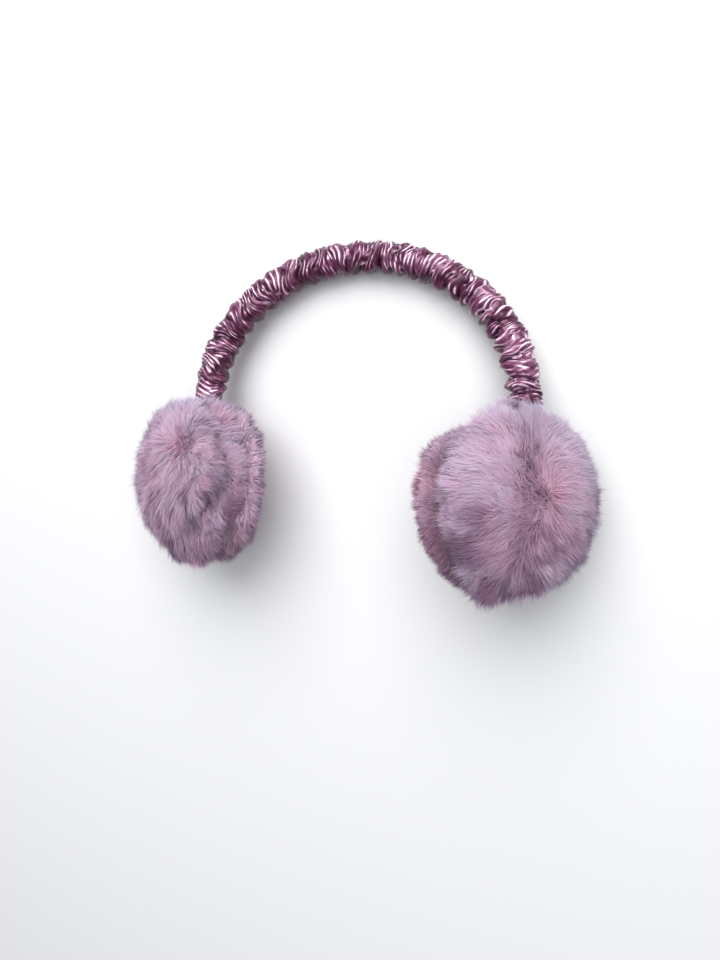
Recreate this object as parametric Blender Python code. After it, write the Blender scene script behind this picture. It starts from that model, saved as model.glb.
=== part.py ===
"""Fur earmuffs, lying down: a spring arch in a gathered satin sleeve, with a fur muff at each end.

The pieces are shaped in the arch's own frame (X across, Y up along the arch, Z out of its plane),
then the whole is laid down until its two pads and the top of its arch rest on the floor.
"""
import math

import bmesh
import bpy
import numpy as np
from mathutils import Matrix, Vector

# Driving dimensions, in metres.
ARCH_HALF_SPAN = 0.0855  # middle of the arch to the centre line of a leg
ARCH_RISE = 0.0760  # springing line to the top of the arch's centre line
SPRINGING = 0.052  # springing line above the muffs' datum
SLEEVE_RADIUS = 0.0073  # mean outer radius of the gathered sleeve
SLEEVE_WALL = 0.0012
CUFF_RADIUS = 0.0069  # plain ends of the sleeve, inside the muffs
CUFF_LENGTH = 0.022
SPRING_WIDTH = 0.0098
SPRING_THICKNESS = 0.0014
LEG_EMBED = 0.018  # how far a leg reaches inside its muff's rim
CLEARANCE = 0.0003  # gap between pieces that touch

FUR_BACK = 0.012  # flat back of the outer fur to its widest section
PAD_RADIUS = 0.0435
PAD_FRONT = 0.011  # flat front of a pad to its widest section
PAD_CROWN = 0.011  # widest section of a pad to the face on the ear
FUR_PILE = 0.012  # length of the outer fur, which sizes its locks and dents
PAD_PILE = 0.006
PAD_PRESS = 0.002  # how far the pads' fur is pressed flat on the floor
SLEEVE_PRESS = 0.0004

# Each muff hangs loose on its leg, so it lies in its own way: its side, its middle inward of the
# leg, above the datum and in front of the arch's plane, the turn of its outer face up from that
# plane and of its top toward the floor in degrees, and its outer fur's radius and dome.
MUFFS = {
    "left": {
        "side": -1, "inset": -0.0005, "height": 0.0075, "forward": 0.001,
        "tilt": 54, "nod": -2, "radius": 0.0415, "dome": 0.0190,
    },
    "right": {
        "side": 1, "inset": 0.0075, "height": 0.003, "forward": 0.005,
        "tilt": 40, "nod": 10, "radius": 0.0450, "dome": 0.0240,
    },
}

# Rows of locks on the outer fur: start and tip in degrees from the pole, locks round the row,
# height of the tips as a share of the pile, and how far the tips point past the gaps in degrees.
FUR_LOCKS = [
    {"start": 12, "tip": 33, "count": 9, "height": 0.16, "point": 7},
    {"start": 35, "tip": 55, "count": 13, "height": 0.20, "point": 8},
    {"start": 57, "tip": 78, "count": 16, "height": 0.24, "point": 9},
    {"start": 80, "tip": 106, "count": 18, "height": 0.28, "point": 10},
]
PAD_LOCKS = [
    {"start": 30, "tip": 58, "count": 10, "height": 0.14, "point": 8},
    {"start": 60, "tip": 92, "count": 13, "height": 0.20, "point": 9},
]

# Dents and tufts in the fur: degrees round from the top toward the inner side, degrees from the
# pole, spread in degrees, and depth (negative) or height as a share of the pile.
FUR_DENTS = {
    "left": [
        {"around": 0, "from_pole": 0, "spread": 16, "rise": -0.20},
        {"around": 120, "from_pole": 62, "spread": 13, "rise": -0.45},
        {"around": 165, "from_pole": 66, "spread": 12, "rise": -0.35},
        {"around": 182, "from_pole": 92, "spread": 16, "rise": 0.40},
        {"around": 226, "from_pole": 90, "spread": 30, "rise": -0.65},
        {"around": 264, "from_pole": 84, "spread": 9, "rise": -0.30},
        {"around": 295, "from_pole": 84, "spread": 24, "rise": 0.50},
    ],
    "right": [
        {"around": 0, "from_pole": 8, "spread": 14, "rise": -0.28},
        {"around": 20, "from_pole": 32, "spread": 16, "rise": -0.25},
        {"around": 160, "from_pole": 28, "spread": 14, "rise": -0.15},
        {"around": 60, "from_pole": 55, "spread": 30, "rise": 0.12},
        {"around": 165, "from_pole": 90, "spread": 18, "rise": 0.35},
        {"around": 218, "from_pole": 86, "spread": 30, "rise": -0.50},
        {"around": 320, "from_pole": 60, "spread": 26, "rise": 0.18},
    ],
}

# The gathers: how the folds' size runs along the arch, as shares of its length and of the radius.
GATHERS = [
    {"along": 0.00, "depth": 0.22},
    {"along": 0.18, "depth": 0.30},
    {"along": 0.36, "depth": 0.26},
    {"along": 0.55, "depth": 0.34},
    {"along": 0.75, "depth": 0.40},
    {"along": 1.00, "depth": 0.32},
]
FOLD_COUNT = 40
LOBE_SHARE = 0.58  # share of a fold that stands out on one side only
CUFF_PLAIN = 0.92  # share of a plain end before the first gather starts
FOLD_RINGS = (  # rings of one fold: place in the fold, and rise from its valley to its crest
    {"place": 0.00, "rise": -0.55},
    {"place": 0.34, "rise": 0.65},
    {"place": 0.72, "rise": 1.00},
)
SLANT = 0.35  # lean of the folds across the sleeve, as a share of its radius

SLEEVE_SIDES = 12
FUR_SIDES = 44
PAD_SIDES = 32
PATH_STEPS = 400
SEED = 7

SATIN = {"name": "mauve_satin", "color": (0.30, 0.10, 0.22, 1), "roughness": 0.32, "metallic": 0.0}
FUR = {"name": "lilac_pink_fur", "color": (0.47, 0.29, 0.42, 1), "roughness": 0.9, "metallic": 0.0}
PAD = {"name": "pad_fur", "color": (0.39, 0.24, 0.34, 1), "roughness": 0.9, "metallic": 0.0}
SPRING = {"name": "spring_steel", "color": (0.36, 0.36, 0.38, 1), "roughness": 0.4, "metallic": 1.0}


def clear_scene():
    for thing in list(bpy.data.objects):
        bpy.data.objects.remove(thing)


def make_material(look):
    material = bpy.data.materials.new(look["name"])
    material.use_nodes = True
    shader = material.node_tree.nodes["Principled BSDF"]
    shader.inputs["Base Color"].default_value = look["color"]
    shader.inputs["Roughness"].default_value = look["roughness"]
    shader.inputs["Metallic"].default_value = look["metallic"]
    return material


def leg_end(muff):
    """Height at which a leg ends, inside its muff."""
    return muff["height"] + muff["radius"] - LEG_EMBED


def centre_line():
    """The arch's centre line from the left leg's end to the right one's, evenly spaced."""
    angles = np.linspace(math.pi, 0, PATH_STEPS)
    over = np.c_[ARCH_HALF_SPAN * np.cos(angles), SPRINGING + ARCH_RISE * np.sin(angles)]
    left = (-ARCH_HALF_SPAN, leg_end(MUFFS["left"]))
    right = (ARCH_HALF_SPAN, leg_end(MUFFS["right"]))
    route = np.r_[[left], over, [right]]
    run = np.r_[0, np.cumsum(np.linalg.norm(np.diff(route, axis=0), axis=1))]
    return run, route


def stations(distances):
    """Centre, direction and inward side of the arch at distances along its centre line."""
    run, route = centre_line()
    step = run[-1] / PATH_STEPS

    def at(d):
        return np.c_[np.interp(d, run, route[:, 0]), np.interp(d, run, route[:, 1])]

    ahead = at(np.minimum(distances + step, run[-1])) - at(np.maximum(distances - step, 0))
    ahead /= np.linalg.norm(ahead, axis=1)[:, None]
    inward = np.c_[ahead[:, 1], -ahead[:, 0]]
    flat = np.zeros(len(distances))
    return np.c_[at(distances), flat], np.c_[ahead, flat], np.c_[inward, flat]


def sleeve_rings():
    """Each ring of the sleeve: distance along the arch, mean radius, inner-side lobe and slant."""
    length = centre_line()[0][-1]
    random = np.random.default_rng(SEED)
    gathered = length - 2 * CUFF_LENGTH
    pitches = 1 + random.uniform(-0.28, 0.28, FOLD_COUNT)
    starts = CUFF_LENGTH + gathered * np.r_[0, np.cumsum(pitches)] / pitches.sum()
    plain = {"radius": CUFF_RADIUS, "lobe": 0.0, "turn": 0.0, "slant": 0.0}
    rings = [{"at": 0.0, **plain}, {"at": CUFF_LENGTH * CUFF_PLAIN, **plain}]
    for fold in range(FOLD_COUNT):
        share = (starts[fold] - CUFF_LENGTH) / gathered
        depth = np.interp(share, [g["along"] for g in GATHERS], [g["depth"] for g in GATHERS])
        size = random.uniform(0.6, 1.15) * depth * SLEEVE_RADIUS
        turn = random.normal(0, 0.7)
        slant = SLANT * math.sin(share * 19 + 1) * SLEEVE_RADIUS
        for ring in FOLD_RINGS:
            at = starts[fold] + ring["place"] * (starts[fold + 1] - starts[fold])
            rise = size * ring["rise"]
            mean = SLEEVE_RADIUS + (1 - LOBE_SHARE) * rise
            lobe = LOBE_SHARE * rise
            row = {"at": at, "radius": mean, "lobe": lobe, "turn": turn, "slant": slant}
            rings.append(row)
    rings.append({"at": length - CUFF_LENGTH * CUFF_PLAIN, **plain})
    rings.append({"at": length, **plain})
    return rings


def sleeve_points(outer):
    """Points of the sleeve's outer or inner wall, ring by ring."""
    rings = sleeve_rings()
    angles = 2 * math.pi * np.arange(SLEEVE_SIDES) / SLEEVE_SIDES
    spring_room = math.hypot(SPRING_WIDTH, SPRING_THICKNESS) / 2 + CLEARANCE
    result = []
    for ring in rings:
        radius = ring["radius"] + ring["lobe"] * np.cos(angles - ring["turn"])
        radius = np.maximum(radius, spring_room + SLEEVE_WALL)
        if not outer:
            radius = radius - SLEEVE_WALL
        lean = ring["slant"] * np.sin(angles + 0.6)
        centre, ahead, inward = stations(ring["at"] + lean)
        side = np.cos(angles)[:, None] * inward + np.sin(angles)[:, None] * np.array([0, 0, 1])
        result.append(centre + side * radius[:, None])
    return np.array(result)


def grid_faces(rings, sides, offset=0):
    faces = []
    for i in range(rings - 1):
        for j in range(sides):
            k = (j + 1) % sides
            quad = (i * sides + j, i * sides + k, (i + 1) * sides + k, (i + 1) * sides + j)
            faces.append(tuple(offset + v for v in quad))
    return faces


def sleeve_mesh():
    outer, inner = sleeve_points(True), sleeve_points(False)
    rings = len(outer)
    size = rings * SLEEVE_SIDES
    faces = grid_faces(rings, SLEEVE_SIDES)
    faces += [tuple(reversed(face)) for face in grid_faces(rings, SLEEVE_SIDES, size)]
    for ring in (0, rings - 1):
        for j in range(SLEEVE_SIDES):
            k = (j + 1) % SLEEVE_SIDES
            a, b = ring * SLEEVE_SIDES + j, ring * SLEEVE_SIDES + k
            faces.append((a, b, b + size, a + size))
    return np.r_[outer.reshape(-1, 3), inner.reshape(-1, 3)], faces


def spring_mesh():
    """A plain strip along the arch, set back from the sleeve's ends by the clearance."""
    length = centre_line()[0][-1]
    count = 60
    centre, ahead, inward = stations(np.linspace(CLEARANCE, length - CLEARANCE, count))
    half_t, half_w = SPRING_THICKNESS / 2, SPRING_WIDTH / 2
    corners = ((-half_t, -half_w), (half_t, -half_w), (half_t, half_w), (-half_t, half_w))
    sections = [centre + inward * t + np.array([0, 0, w]) for t, w in corners]
    points = np.stack(sections, axis=1).reshape(-1, 3)
    faces = grid_faces(count, 4)
    faces += [(0, 1, 2, 3), tuple(4 * (count - 1) + j for j in (3, 2, 1, 0))]
    return points, faces


def muff_axes(muff):
    """Outward axis, upward axis and inner-side axis of a muff, as rows."""
    side, tilt, nod = muff["side"], math.radians(muff["tilt"]), math.radians(muff["nod"])
    outward = (side * math.cos(tilt), 0, math.sin(tilt))
    inner = (-side * math.sin(tilt), 0, math.cos(tilt))
    return np.array([outward, (0, 1, 0), inner]) @ np.array(Matrix.Rotation(nod, 3, "X"))


def muff_centre(muff):
    across = muff["side"] * (ARCH_HALF_SPAN - muff["inset"])
    return np.array([across, muff["height"], muff["forward"]])


def lock_lobes(locks, index, around):
    """How near each place round a row is to the middle of a lock, from 0 to 1."""
    return np.abs(np.cos(locks[index]["count"] * around / 2 + 1.9 * index))


def lock_height(locks, ring, around):
    """Height of the locks at a ring, as a share of the pile."""
    row = locks[ring["row"]]
    lobes = lock_lobes(locks, ring["row"], around)
    uneven = 0.75 + 0.25 * np.cos(3 * around + 2.3 * ring["row"])
    return row["height"] * ring["share"] * (0.2 + 0.8 * lobes) * uneven


def ring_plan(locks):
    """Rings of the fur: degrees from the pole, lock row, share of its rise and row it tucks under."""
    plan = [{"angle": 4, "row": 0, "share": 0.0, "under": None, "point": 0.0}]
    for index, row in enumerate(locks):
        span = row["tip"] - row["start"]
        under = index - 1 if index else None
        plan.append({"angle": row["start"], "row": index, "share": 0, "under": under, "point": 1})
        middle = row["start"] + 0.55 * span
        plan.append({"angle": middle, "row": index, "share": 0.6, "under": index, "point": 0.4})
        plan.append({"angle": row["tip"], "row": index, "share": 1, "under": index, "point": 1})
    last = len(locks) - 1
    rest = 180 - locks[last]["tip"]
    for part, point in ((0.10, 1.0), (0.32, 0.0), (0.60, 0.0), (0.85, 0.0)):
        angle = locks[last]["tip"] + part * rest
        plan.append({"angle": angle, "row": last, "share": 0, "under": last, "point": point})
    return plan


def ring_angles(locks, ring, around):
    """Angle from the pole all round a ring, which follows the points of its locks."""
    if ring["under"] is None:
        return np.full(len(around), math.radians(ring["angle"]))
    lobes = lock_lobes(locks, ring["under"], around)
    point = locks[ring["under"]]["point"] * ring["point"]
    return np.radians(ring["angle"] + point * (lobes - 0.6))


def dent_rise(dents, toward):
    """Rise of the dents and tufts in each direction from the muff's middle."""
    rise = np.zeros(len(toward))
    for dent in dents:
        turn, tip = math.radians(dent["around"]), math.radians(dent["from_pole"])
        aim = np.array([math.cos(tip), math.sin(tip) * math.cos(turn), math.sin(tip) * math.sin(turn)])
        off = np.arccos(np.clip(toward @ aim, -1, 1)) / math.radians(dent["spread"])
        rise += dent["rise"] * np.exp(-off ** 2)
    return rise


def fur_points(radius, dome, back, pile, locks, dents, sides):
    """A furry dome about its own axis: columns are out along the axis, up and inner side."""
    around = 2 * math.pi * np.arange(sides) / sides
    plan = ring_plan(locks)
    rings = []
    for ring in plan:
        angle = ring_angles(locks, ring, around)
        cosine, sine = np.cos(angle), np.sin(angle)
        toward = np.stack([cosine, sine * np.cos(around), sine * np.sin(around)], axis=1)
        rise = pile * (lock_height(locks, ring, around) + dent_rise(dents, toward))
        front = cosine > 0
        along = np.where(front, cosine * dome, -np.abs(cosine) ** 0.75 * back)
        wide = radius * np.where(front, sine ** 0.86, sine ** 0.5)
        out = np.maximum(back + along + rise * cosine, 0)
        reach = wide + rise * sine
        rings.append(np.stack([out, reach * np.cos(around), reach * np.sin(around)], axis=1))
    pole = back + dome + pile * dent_rise(dents, np.array([[1.0, 0, 0]]))[0]
    return np.r_[[[pole, 0, 0]], np.concatenate(rings), [[0.0, 0, 0]]], len(plan)


def fur_faces(rings, sides):
    faces = grid_faces(rings, sides, 1)
    last = 1 + rings * sides
    for j in range(sides):
        k = (j + 1) % sides
        faces.append((0, 1 + k, 1 + j))
        faces.append((last, last - sides + j, last - sides + k))
    return faces


def outer_fur_mesh(name, muff):
    """The domed outer fur, whose flat back lies on the muff's middle plane."""
    points, rings = fur_points(muff["radius"], muff["dome"], FUR_BACK, FUR_PILE,
                               FUR_LOCKS, FUR_DENTS[name], FUR_SIDES)
    points[:, 0] += CLEARANCE / 2
    return muff_centre(muff) + points @ muff_axes(muff), fur_faces(rings, FUR_SIDES)


def pad_mesh(muff):
    """The flatter inner pad, which faces the other way from the same plane."""
    points, rings = fur_points(PAD_RADIUS, PAD_CROWN, PAD_FRONT, PAD_PILE, PAD_LOCKS, [], PAD_SIDES)
    points[:, 0] = -points[:, 0] - CLEARANCE / 2
    return muff_centre(muff) + points @ muff_axes(muff), fur_faces(rings, PAD_SIDES)


def height_when_laid(points, angle):
    return points[:, 2] * math.cos(angle) - points[:, 1] * math.sin(angle)


def lay_down(pads, sleeve, everything):
    """The turn and shift that rest the pads and the arch's top on the floor, centred on it."""
    low, high = 0.0, math.radians(60)
    for _ in range(50):
        angle = (low + high) / 2
        pad_low = np.mean([height_when_laid(pad, angle).min() for pad in pads]) + PAD_PRESS
        arch_low = height_when_laid(sleeve, angle).min() + SLEEVE_PRESS
        if pad_low < arch_low:
            low = angle
        else:
            high = angle
    turn = Matrix.Rotation(-angle, 4, "X")
    laid = everything @ np.array(turn.to_3x3()).T
    middle = (laid.max(axis=0) + laid.min(axis=0)) / 2
    return Matrix.Translation((-middle[0], -middle[1], -arch_low)) @ turn


def press_flat(points, laid):
    """Points below the floor moved up onto it."""
    turn, shift = np.array(laid.to_3x3()), np.array(laid.translation)
    world = points @ turn.T + shift
    world[:, 2] = np.maximum(world[:, 2], 0)
    return (world - shift) @ turn


def cut_on_floor(mesh, laid):
    """The mesh cut off level where it would pass below the floor, and closed with one flat face."""
    back = laid.inverted()
    up = (back.to_3x3() @ Vector((0, 0, 1))).normalized()
    work = bmesh.new()
    work.from_mesh(mesh)
    everything = work.verts[:] + work.edges[:] + work.faces[:]
    cut = bmesh.ops.bisect_plane(work, geom=everything, plane_co=back.translation, plane_no=up,
                                 clear_inner=True)
    rim = [piece for piece in cut["geom_cut"] if isinstance(piece, bmesh.types.BMEdge)]
    if rim:
        bmesh.ops.edgenet_fill(work, edges=rim)
    bmesh.ops.recalc_face_normals(work, faces=work.faces[:])
    work.to_mesh(mesh)
    work.free()


def make_object(name, points, faces, material, parent):
    mesh = bpy.data.meshes.new(name)
    mesh.from_pydata([tuple(p) for p in points], [], faces)
    work = bmesh.new()
    work.from_mesh(mesh)
    bmesh.ops.recalc_face_normals(work, faces=work.faces[:])
    work.to_mesh(mesh)
    work.free()
    mesh.shade_smooth()
    mesh.set_sharp_from_angle(angle=math.radians(50))
    thing = bpy.data.objects.new(name, mesh)
    bpy.context.scene.collection.objects.link(thing)
    thing.parent = parent
    thing.data.materials.append(material)
    return thing


def make_leg_cutter(name, muff, parent):
    """The room for a leg's plain end: the sleeve's own section with the clearance round it."""
    bottom = leg_end(muff) - CLEARANCE
    top = muff["height"] + muff["radius"] + FUR_PILE
    angles = 2 * math.pi * np.arange(SLEEVE_SIDES) / SLEEVE_SIDES
    room = (CUFF_RADIUS + CLEARANCE) / math.cos(math.pi / SLEEVE_SIDES)
    rings = []
    for height in (bottom, top):
        across = muff["side"] * ARCH_HALF_SPAN + room * np.cos(angles)
        level = np.full(SLEEVE_SIDES, height)
        rings.append(np.stack([across, level, room * np.sin(angles)], axis=1))
    faces = grid_faces(2, SLEEVE_SIDES)
    faces += [tuple(range(SLEEVE_SIDES)), tuple(reversed(range(SLEEVE_SIDES, 2 * SLEEVE_SIDES)))]
    cutter = make_object(name, np.concatenate(rings), faces, make_material(SPRING), parent)
    cutter.hide_render = True
    cutter.display_type = "WIRE"
    return cutter


def cut_room(thing, cutter):
    """Takes the cutter's room out of a piece."""
    modifier = thing.modifiers.new("leg_room", "BOOLEAN")
    modifier.operation = "DIFFERENCE"
    modifier.object = cutter


def build():
    clear_scene()
    sleeve, sleeve_faces = sleeve_mesh()
    furs = {name: outer_fur_mesh(name, muff) for name, muff in MUFFS.items()}
    pads = {name: pad_mesh(muff) for name, muff in MUFFS.items()}
    pad_points = [points for points, _ in pads.values()]
    everything = np.concatenate([sleeve] + pad_points + [points for points, _ in furs.values()])
    laid = lay_down(pad_points, sleeve, everything)

    root = bpy.data.objects.new("lying_down", None)
    bpy.context.scene.collection.objects.link(root)
    root.matrix_world = laid

    spring, spring_faces = spring_mesh()
    make_object("headband_spring", spring, spring_faces, make_material(SPRING), root)
    sleeve = press_flat(sleeve, laid)
    make_object("gathered_sleeve", sleeve, sleeve_faces, make_material(SATIN), root)
    fur_material, pad_material = make_material(FUR), make_material(PAD)
    for name, muff in MUFFS.items():
        cutter = make_leg_cutter(name + "_leg_room", muff, root)
        fur = make_object(name + "_outer_fur", *furs[name], fur_material, root)
        pad = make_object(name + "_inner_pad", *pads[name], pad_material, root)
        cut_on_floor(pad.data, laid)
        cut_on_floor(fur.data, laid)
        cut_room(fur, cutter)
        cut_room(pad, cutter)


build()
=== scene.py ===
"""Fur earmuffs, dressed: a gathered satin sleeve over the arch, and two muffs of combed faux fur.

The numbers named first repeat the design's own sizes, so that every piece is shaped round the
frame. Each muff is worked out in its own axes: out along its dome, up, and toward the inner side.
"""
import math

import bpy
import numpy as np
from mathutils import Matrix, Vector
from mathutils.kdtree import KDTree


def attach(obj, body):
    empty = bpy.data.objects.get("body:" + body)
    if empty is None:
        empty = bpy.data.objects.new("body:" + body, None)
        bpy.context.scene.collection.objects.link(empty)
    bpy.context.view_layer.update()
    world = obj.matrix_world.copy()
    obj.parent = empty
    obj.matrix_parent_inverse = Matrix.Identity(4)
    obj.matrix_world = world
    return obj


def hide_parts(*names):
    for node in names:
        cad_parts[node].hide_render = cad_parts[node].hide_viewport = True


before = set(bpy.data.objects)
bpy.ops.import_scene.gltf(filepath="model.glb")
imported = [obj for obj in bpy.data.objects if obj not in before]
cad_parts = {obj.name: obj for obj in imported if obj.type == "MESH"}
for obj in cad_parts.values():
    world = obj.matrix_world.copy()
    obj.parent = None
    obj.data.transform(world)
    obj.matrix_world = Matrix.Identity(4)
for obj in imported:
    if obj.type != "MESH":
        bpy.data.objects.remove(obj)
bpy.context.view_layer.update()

# The design's sizes, in metres.
ARCH_HALF_SPAN = 0.0855
ARCH_RISE = 0.0760
SPRINGING = 0.052
SPRING_THICKNESS = 0.0014
SLEEVE_RADIUS = 0.0073
SLEEVE_WALL = 0.0006
CUFF_RADIUS = 0.0069
CUFF_LENGTH = 0.022
LEG_EMBED = 0.018
FUR_BACK = 0.012
PAD_FRONT = 0.011
PAD_CROWN = 0.011
FUR_PILE = 0.012
PAD_PILE = 0.006

# Each muff's place from its leg, its tilt and nod in degrees, and its dome. Then what only the fur
# needs: its share of the strands, its pad's radius, and how much painted shade darkens its underside.
MUFFS = {
    "left": {
        "side": -1, "inset": -0.0005, "height": 0.0075, "forward": 0.001,
        "tilt": 54, "nod": -2, "radius": 0.0415, "dome": 0.0190,
        "cover": 0.86, "pad": 0.0456, "painted_shade": 0.25,
    },
    "right": {
        "side": 1, "inset": 0.0075, "height": 0.003, "forward": 0.005,
        "tilt": 40, "nod": 10, "radius": 0.0450, "dome": 0.0240,
        "cover": 1.0, "pad": 0.0435, "painted_shade": 0.72,
    },
}


def named_rows(keys, table):
    """A table of rows for each name, with the columns named."""
    return {name: [dict(zip(keys, row)) for row in rows] for name, rows in table.items()}


# Dents and tufts: degrees round from the top toward the inner side, degrees from the pole,
# spread in degrees, and depth (negative) or height as a share of the pile.
DENT_KEYS = ("around", "from_pole", "spread", "rise")
FUR_DENTS = named_rows(DENT_KEYS, {
    "left": [
        (0, 0, 16, -0.12),
        (108, 84, 15, -0.60),
        (135, 72, 16, -0.30),
        (92, 112, 10, -0.55),
        (182, 92, 16, 0.40),
        (152, 104, 20, 0.75),
        (226, 90, 30, -0.95),
        (264, 84, 9, -0.40),
        (295, 84, 24, 0.50),
    ],
    "right": [
        (12, 32, 11, -0.22),
        (4, 48, 11, -0.24),
        (32, 16, 10, -0.16),
        (50, 30, 14, 0.10),
        (160, 34, 15, -0.16),
        (60, 55, 30, 0.12),
        (24, 76, 8, 0.14),
        (160, 96, 16, 0.50),
        (192, 90, 9, -0.35),
        (218, 86, 26, -0.30),
        (320, 60, 26, 0.18),
    ],
})
PAD_DENTS = named_rows(DENT_KEYS, {
    "left": [
        (10, 90, 34, -0.65),
        (125, 90, 30, 0.35),
    ],
    "right": [
        (25, 90, 28, -0.70),
    ],
    "seam": [
        (94, 66, 16, -0.7),
    ],
})

# Places of painted shade on the fur, or of painted light where negative, given like the dents.
PAINTED_SHADE_SPOTS = named_rows(("around", "from_pole", "spread", "painted_shade"), {
    "left": [
        (116, 78, 17, 0.42),
        (92, 110, 12, 0.35),
        (60, 96, 26, 0.06),
        (165, 58, 13, 0.14),
        (200, 34, 12, 0.10),
        (290, 42, 30, 0.40),
        (350, 40, 26, 0.26),
        (66, 62, 22, -0.10),
        (100, 30, 20, -0.20),
    ],
    "right": [
        (22, 30, 9, 0.24),
        (12, 44, 8, 0.22),
        (46, 16, 9, 0.22),
        (64, 36, 18, -0.20),
        (336, 34, 14, -0.25),
        (292, 16, 12, -0.15),
        (262, 56, 26, 0.26),
        (176, 70, 13, 0.20),
        (140, 80, 12, 0.16),
        (205, 50, 13, -0.16),
    ],
})

SEED = 11
FLOOR_GAP = 0.0002
UP = np.array([0.0, 1.0, 0.0])
TINY = 1e-12
SLIGHT = 1e-6  # of the way up, which gives a strand a heading where its stroke has none

# The domes' fullness, as powers, where a lower one is fuller, and the rows of their grids, from
# the first to the last in degrees from the pole.
FRONT_FULLNESS = 0.86
BACK_FULLNESS = 0.75
BACK_RIM_FULLNESS = 0.5
FIRST_ROW = 1.0
LAST_ROW = 150

# How strands differ along the fur: the size of each swing, and the distance that it takes.
BROAD_BEND = 0.55
BROAD_BEND_PITCH = 0.016
FINE_BEND = 0.45
FINE_BEND_PITCH = 0.006
LENGTH_SWING = 0.10
LENGTH_PITCH = 0.012
LIFT_SWING = 0.12
LIFT_PITCH = 0.010
DEPTH_SWING = 0.12
DEPTH_PITCH = 0.014

# How each strand differs from the next.
SPARE_ROOTS = 1.04  # strands grown for one kept, as those inside a leg are left out
LENGTH_RANGE = (0.72, 1.12)
LIFT_SCATTER = 0.10
WIDTH_RANGE = (0.75, 1.25)
FLOOR_SCATTER = 0.0006
LEG_SHARE = 0.88  # of the cuff's radius, inside which no strand passes
WILD_LIFT = 0.35
WILD_LENGTH = 1.12
WILD_PULL = 0.2
RAISED_DROOP = 0.6  # how much less a strand droops, for how far its stroke raises it
TAPER = ((0, 0.35, 1), (0.75, 1.0, 0.5))  # places along a strand, and its width there

# Where the fur takes painted shade, and a painted cool rim sheen.
UNDER_START = -0.10  # from where down a muff its fur takes painted shade, as a share of its radius
SIDE_SHADE = 0.36  # how much painted shade the fur takes on a muff's far outer side
SHADE_REACH = 0.8  # how far the painted shade beside the outer fur goes, as a share of the pad's depth
RIM_START = 12  # from how many degrees from the pole the fur takes a painted cool rim sheen
RIM_SPREAD = 55  # and over how many
INNER_RIM = 0.7  # how much less of the painted cool rim sheen it has on the inner side
UNDER_RIM = 0.5  # and underneath
SIDE_RIM = 0.7  # and how much more of it on the outer side
# Patches in the painted shade: how strong they are and how far apart.
PATCH_SWING = 0.8
PATCH_PITCH = 0.016

# What a strand's tone and warmth are made of, as shares.
BASE_TONE = 0.35
TONE_RANGE = 0.65
LOCK_TONE = 0.6
OWN_TONE = 0.4
BROAD_WARMTH = 0.55
LOCK_WARMTH = 0.35
BASE_WARMTH = 0.35
# How much the painted cool rim sheen takes from the warmth.
RIM_WARMTH = 0.60
WARM_SWING = 0.2
WARM_PITCH = 0.024
SOFT_SHADE = 0.76  # how far a strand is lit as the fur it lies in, rather than by its own face


def unit(vectors):
    length = np.linalg.norm(vectors, axis=-1, keepdims=True)
    return vectors / np.maximum(length, TINY)


def waves(points, wavelength, seed, count=14):
    """Smooth noise of about unit size at points in space, from a few plane waves."""
    random = np.random.default_rng(seed)
    heading = unit(random.normal(size=(count, 3)))
    pitch = 2 * math.pi / (wavelength * random.uniform(0.7, 1.4, count))
    phase = random.uniform(0, 2 * math.pi, count)
    swing = np.cos(points @ (heading * pitch[:, None]).T + phase)
    return swing.sum(axis=-1) * math.sqrt(2 / count)


def vertices_of(node):
    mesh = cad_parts[node].data
    flat = np.empty(len(mesh.vertices) * 3, np.float32)
    mesh.vertices.foreach_get("co", flat)
    return flat.reshape(-1, 3).astype(float)


def arch_place():
    """Origin and axes of the arch's plane, from the spring, which lies symmetric about it."""
    points = vertices_of("headband_spring")
    middle = points.mean(axis=0)
    normal = np.linalg.svd(points - middle, full_matrices=False)[2][2]
    normal = normal * np.sign(normal[2])
    across = np.array([1.0, 0, 0])
    normal = unit(normal - across * normal[0])
    up = np.cross(normal, across)
    x = points[:, 0]
    rise = points @ up
    out = points @ normal
    top = SPRINGING + ARCH_RISE + SPRING_THICKNESS / 2
    axes = np.array([across, up, normal])
    origin = np.array([(x.max() + x.min()) / 2, rise.max() - top, (out.max() + out.min()) / 2])
    return origin @ axes, axes


ARCH_ORIGIN, ARCH_AXES = arch_place()


def from_arch(points):
    return ARCH_ORIGIN + points @ ARCH_AXES


def muff_place(muff):
    """Centre and axes of a muff in the frame: out, up and inner side, as rows."""
    side, tilt, nod = muff["side"], math.radians(muff["tilt"]), math.radians(muff["nod"])
    outward = (side * math.cos(tilt), 0, math.sin(tilt))
    inner = (-side * math.sin(tilt), 0, math.cos(tilt))
    axes = np.array([outward, (0, 1, 0), inner]) @ np.array(Matrix.Rotation(nod, 3, "X"))
    centre = np.array([side * (ARCH_HALF_SPAN - muff["inset"]), muff["height"], muff["forward"]])
    return from_arch(centre), axes @ ARCH_AXES


def spot_sum(spots, key, toward):
    """What a table of spots on a dome adds up to in given directions from its middle."""
    total = np.zeros(toward.shape[:-1])
    for spot in spots:
        turn, tip = math.radians(spot["around"]), math.radians(spot["from_pole"])
        aim = np.array([math.cos(tip), math.sin(tip) * math.cos(turn), math.sin(tip) * math.sin(turn)])
        off = np.arccos(np.clip(toward @ aim, -1, 1)) / math.radians(spot["spread"])
        total += spot[key] * np.exp(-off ** 2)
    return total


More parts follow.
